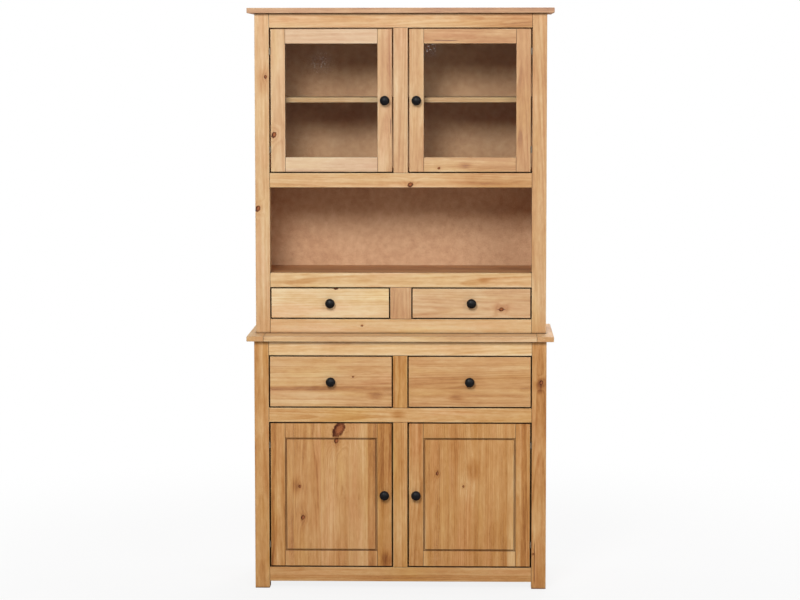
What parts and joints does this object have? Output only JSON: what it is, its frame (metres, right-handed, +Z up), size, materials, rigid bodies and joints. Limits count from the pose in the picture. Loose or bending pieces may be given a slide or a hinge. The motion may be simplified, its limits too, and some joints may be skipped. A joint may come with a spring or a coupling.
{
  "type": "kitchen cabinet",
  "caption": "Solid pine kitchen cabinet: a base with panelled doors and drawers, a worktop, and a hutch with an open niche, small drawers and glazed doors.",
  "frame": {"origin": "on the floor, in the middle of the width and of the depth", "axes": "+Z up, +X to the right of someone facing the doors, doors towards -Y"},
  "size_m": [0.948, 0.405, 1.8],
  "materials": {
    "pine": "satin lacquer",
    "inner_pine": "raw",
    "hardboard": "matte",
    "glass": "clear",
    "knob": "satin black",
    "steel": "zinc plated"
  },
  "bodies": {
    "cabinet": {"base_back_panel": "hardboard", "base_bottom_rail": "pine", "base_centre_posts": "pine", "base_floor": "pine", "base_front_posts": "pine", "base_middle_rail": "pine", "base_shelf": "pine", "base_side_panels": "pine", "base_top_rail": "pine", "cornice_board": "pine", "cupboard_floor": "pine", "drawer_runners": "inner_pine", "drawer_stops": "inner_pine", "glazed_shelf": "pine", "hinge_leaves": "steel", "hutch_back_panel": "hardboard", "hutch_centre_posts": "pine", "hutch_low_rail": "pine", "hutch_middle_rail": "pine", "hutch_niche_rail": "pine", "hutch_posts": "pine", "hutch_side_panels": "pine", "hutch_top_rail": "pine", "niche_shelf": "pine", "rear_rails": "inner_pine", "shelf_pins": "steel", "worktop": "pine", "worktop_ends": "pine"},
    "left_base_door": {"left_base_door_board": "pine", "left_base_door_hinge_leaves": "steel", "left_base_door_knob": "knob", "left_base_door_stiles": "pine"},
    "right_base_door": {"right_base_door_board": "pine", "right_base_door_hinge_leaves": "steel", "right_base_door_knob": "knob", "right_base_door_stiles": "pine"},
    "left_glass_door": {"left_glass_door_hinge_leaves": "steel", "left_glass_door_knob": "knob", "left_glass_door_pane": "glass", "left_glass_door_rails": "pine", "left_glass_door_stiles": "pine"},
    "right_glass_door": {"right_glass_door_hinge_leaves": "steel", "right_glass_door_knob": "knob", "right_glass_door_pane": "glass", "right_glass_door_rails": "pine", "right_glass_door_stiles": "pine"},
    "left_base_drawer": {"left_base_drawer_box": "inner_pine", "left_base_drawer_front": "pine", "left_base_drawer_knob": "knob"},
    "right_base_drawer": {"right_base_drawer_box": "inner_pine", "right_base_drawer_front": "pine", "right_base_drawer_knob": "knob"},
    "left_hutch_drawer": {"left_hutch_drawer_box": "inner_pine", "left_hutch_drawer_front": "pine", "left_hutch_drawer_knob": "knob"},
    "right_hutch_drawer": {"right_hutch_drawer_box": "inner_pine", "right_hutch_drawer_front": "pine", "right_hutch_drawer_knob": "knob"}
  },
  "joints": [
    {"name": "left_base_door_hinge", "type": "hinge", "parent": "cabinet", "child": "left_base_door", "pos_m": [-0.40475, -0.1775, 0.2945], "axis": [0, 0, -1], "range_deg": [0, 165]},
    {"name": "right_base_door_hinge", "type": "hinge", "parent": "cabinet", "child": "right_base_door", "pos_m": [0.40475, -0.1775, 0.2945], "axis": [0, 0, 1], "range_deg": [0, 165]},
    {"name": "left_glass_door_hinge", "type": "hinge", "parent": "cabinet", "child": "left_glass_door", "pos_m": [-0.40475, -0.1025, 1.515], "axis": [0, 0, -1], "range_deg": [0, 165]},
    {"name": "right_glass_door_hinge", "type": "hinge", "parent": "cabinet", "child": "right_glass_door", "pos_m": [0.40475, -0.1025, 1.515], "axis": [0, 0, 1], "range_deg": [0, 165]},
    {"name": "left_base_drawer_slide", "type": "slide", "parent": "cabinet", "child": "left_base_drawer", "axis": [0, -1, 0], "range_m": [0, 0.26]},
    {"name": "right_base_drawer_slide", "type": "slide", "parent": "cabinet", "child": "right_base_drawer", "axis": [0, -1, 0], "range_m": [0, 0.26]},
    {"name": "left_hutch_drawer_slide", "type": "slide", "parent": "cabinet", "child": "left_hutch_drawer", "axis": [0, -1, 0], "range_m": [0, 0.19]},
    {"name": "right_hutch_drawer_slide", "type": "slide", "parent": "cabinet", "child": "right_hutch_drawer", "axis": [0, -1, 0], "range_m": [0, 0.19]}
  ]
}
